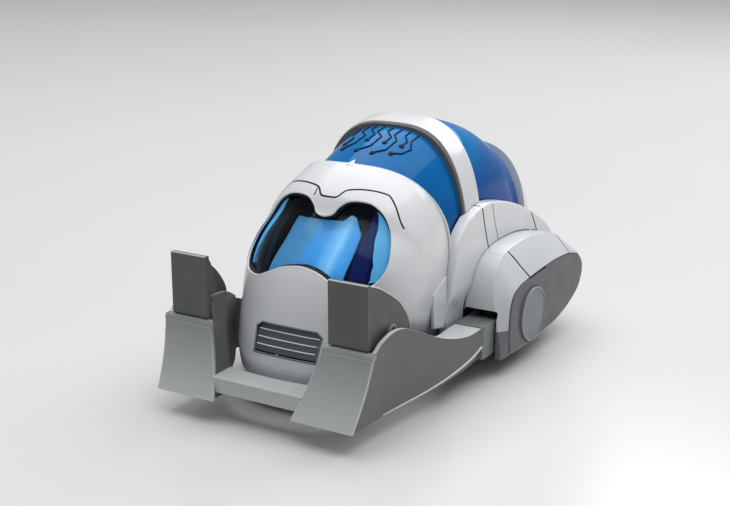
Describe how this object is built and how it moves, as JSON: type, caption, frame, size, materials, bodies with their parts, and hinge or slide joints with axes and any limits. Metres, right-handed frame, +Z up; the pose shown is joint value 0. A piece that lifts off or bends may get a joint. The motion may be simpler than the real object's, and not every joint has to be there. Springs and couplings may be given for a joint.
{
  "type": "two wheel robot car with lifting fork",
  "caption": "Toy robot car on two gear-driven wheels and a ball caster, with a visor head, a glazed cabin and a front fork that lifts and carries hinged jaw plates.",
  "frame": {"origin": "centre of the footprint box on the floor: X on the car's middle plane, Y half way between the blade tips and the tail, Z at the floor under the tyres", "axes": "+X towards the car's own left side, -Y ahead (the nose and the fork), +Z up"},
  "size_m": [0.114, 0.2022, 0.1035],
  "materials": {
    "white": "glossy white moulded shell",
    "light_grey": "satin light grey moulded plastic",
    "dark_grey": "satin dark grey moulded plastic",
    "panel_grey": "satin slate grey side panel",
    "cap_grey": "satin mid grey plastic",
    "black": "satin black plastic",
    "blue_glass": "clear blue tinted plastic",
    "display_blue": "lit blue display film",
    "rubber": "moulded rubber tread",
    "steel": "bright turned steel",
    "gear_white": "natural acetal gear plastic",
    "board_green": "green circuit board",
    "cell_wrap": "dark printed cell wrap without lettering"
  },
  "bodies": {
    "chassis": {"hood_shell": "white", "visor_bezel": "black", "visor_lens": "blue_glass", "display_panel": "display_blue", "vent_grille": "cap_grey", "speaker": "black", "windscreen": "blue_glass", "roll_arch": "white", "arch_gasket": "dark_grey", "rear_window": "blue_glass", "rear_trim": "light_grey", "rear_cap": "white", "fender_left": "white", "fender_right": "white", "pod_shell_left": "white", "pod_shell_right": "white", "side_panel_left": "panel_grey", "side_panel_right": "panel_grey", "hub_cap_left": "cap_grey", "hub_cap_right": "cap_grey", "chassis_tub": "dark_grey", "chassis_deck": "dark_grey", "circuit_board": "board_green", "battery_cover": "dark_grey", "battery_holder": "black", "battery_cell_1": "cell_wrap", "battery_cell_2": "cell_wrap", "battery_cell_3": "cell_wrap", "caster_housing": "dark_grey", "drive_motor_left": "steel", "drive_motor_right": "steel", "gearbox_plate_left": "light_grey", "gearbox_plate_right": "light_grey", "lift_motor": "black"},
    "drive_wheel_left": {"wheel_left": "cap_grey", "tyre_left": "rubber", "axle_left": "steel", "drive_gear_left": "gear_white"},
    "drive_wheel_right": {"wheel_right": "cap_grey", "tyre_right": "rubber", "axle_right": "steel", "drive_gear_right": "gear_white"},
    "pinion_left": {"motor_pinion_left": "gear_white"},
    "pinion_right": {"motor_pinion_right": "gear_white"},
    "fork": {"arm_left": "light_grey", "arm_right": "light_grey", "ramp_left": "light_grey", "ramp_right": "light_grey", "fork_crossbar": "light_grey", "jaw_pin_left": "steel", "jaw_pin_right": "steel"},
    "lift_train": {"lift_shaft": "steel", "lift_pinion_left": "gear_white", "lift_pinion_right": "gear_white"},
    "jaw_plate_left": {"jaw_left": "dark_grey"},
    "jaw_plate_right": {"jaw_right": "dark_grey"},
    "caster": {"caster_ball": "steel"},
    "switch": {"power_switch": "light_grey"}
  },
  "joints": [
    {"name": "wheel_left_spin", "type": "hinge", "parent": "chassis", "child": "drive_wheel_left", "pos_m": [0, 0.0261, 0.0206], "axis": [1, 0, 0], "continuous": true},
    {"name": "wheel_right_spin", "type": "hinge", "parent": "chassis", "child": "drive_wheel_right", "pos_m": [0, 0.0261, 0.0206], "axis": [1, 0, 0], "continuous": true},
    {"name": "pinion_left_spin", "type": "hinge", "parent": "chassis", "child": "pinion_left", "pos_m": [0, 0.01613, 0.02613], "axis": [1, 0, 0], "continuous": true},
    {"name": "pinion_right_spin", "type": "hinge", "parent": "chassis", "child": "pinion_right", "pos_m": [0, 0.01613, 0.02613], "axis": [1, 0, 0], "continuous": true},
    {"name": "fork_lift", "type": "hinge", "parent": "chassis", "child": "fork", "pos_m": [0, 0.0261, 0.0206], "axis": [-1, 0, 0], "range_deg": [-4, 8]},
    {"name": "lift_shaft_turn", "type": "hinge", "parent": "chassis", "child": "lift_train", "pos_m": [0, 0.0366, 0.03879], "axis": [-1, 0, 0], "range_deg": [-32, 16]},
    {"name": "jaw_left_tilt", "type": "hinge", "parent": "fork", "child": "jaw_plate_left", "pos_m": [0, -0.0725, 0.0395], "axis": [-1, 0, 0], "range_deg": [0, 35]},
    {"name": "jaw_right_tilt", "type": "hinge", "parent": "fork", "child": "jaw_plate_right", "pos_m": [0, -0.0725, 0.0395], "axis": [-1, 0, 0], "range_deg": [0, 35]},
    {"name": "caster_roll", "type": "hinge", "parent": "chassis", "child": "caster", "pos_m": [0, -0.052, 0.0044], "axis": [1, 0, 0], "continuous": true},
    {"name": "power_switch_slide", "type": "slide", "parent": "chassis", "child": "switch", "axis": [1, 0, 0], "range_m": [0, 0.004]}
  ],
  "couplings": [
    {"joint": "pinion_left_spin", "follows": "wheel_left_spin", "ratio": -2.1667},
    {"joint": "pinion_right_spin", "follows": "wheel_right_spin", "ratio": -2.1667},
    {"joint": "lift_shaft_turn", "follows": "fork_lift", "ratio": -4}
  ]
}
